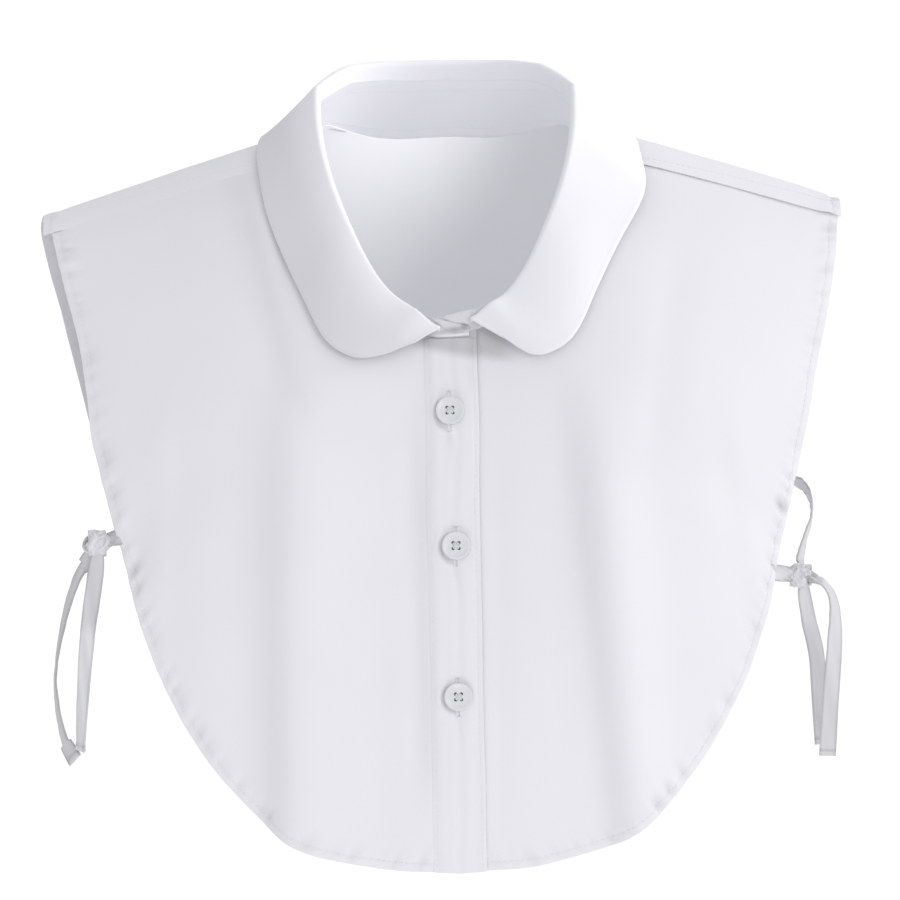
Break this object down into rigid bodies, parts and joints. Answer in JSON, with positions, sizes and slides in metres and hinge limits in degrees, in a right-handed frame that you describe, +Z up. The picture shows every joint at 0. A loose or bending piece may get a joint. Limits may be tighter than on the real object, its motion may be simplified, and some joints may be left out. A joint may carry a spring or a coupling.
{
  "type": "detachable shirt collar",
  "caption": "White cotton shirt collar on a short front and back, with rounded points, a buttoned front and knotted ties at the sides.",
  "frame": {"origin": "middle of the neck opening, level with the shoulders at the collar's seam", "axes": "+X to the wearer's left, which is the viewer's right, +Y to the wearer's back, +Z up"},
  "size_m": [0.3632, 0.2032, 0.3451],
  "materials": {
    "shirting": "matte, fine plain weave",
    "collar_cloth": "matte, fine plain weave, pressed",
    "tape": "matte, fine plain weave",
    "button_resin": "satin"
  },
  "bodies": {
    "root": {"back": "shirting", "front_right": "shirting", "front_left": "shirting", "placket": "shirting", "collar_stand": "collar_cloth", "collar_leaf": "collar_cloth", "button_top": "button_resin", "button_middle": "button_resin", "button_bottom": "button_resin", "tie_right_root": "tape", "tie_right_knot": "tape", "tie_right_strap": "tape", "tie_right_tail_a": "tape", "tie_right_tail_b": "tape", "tie_left_root": "tape", "tie_left_knot": "tape", "tie_left_strap": "tape", "tie_left_tail_a": "tape", "tie_left_tail_b": "tape"}
  },
  "joints": []
}
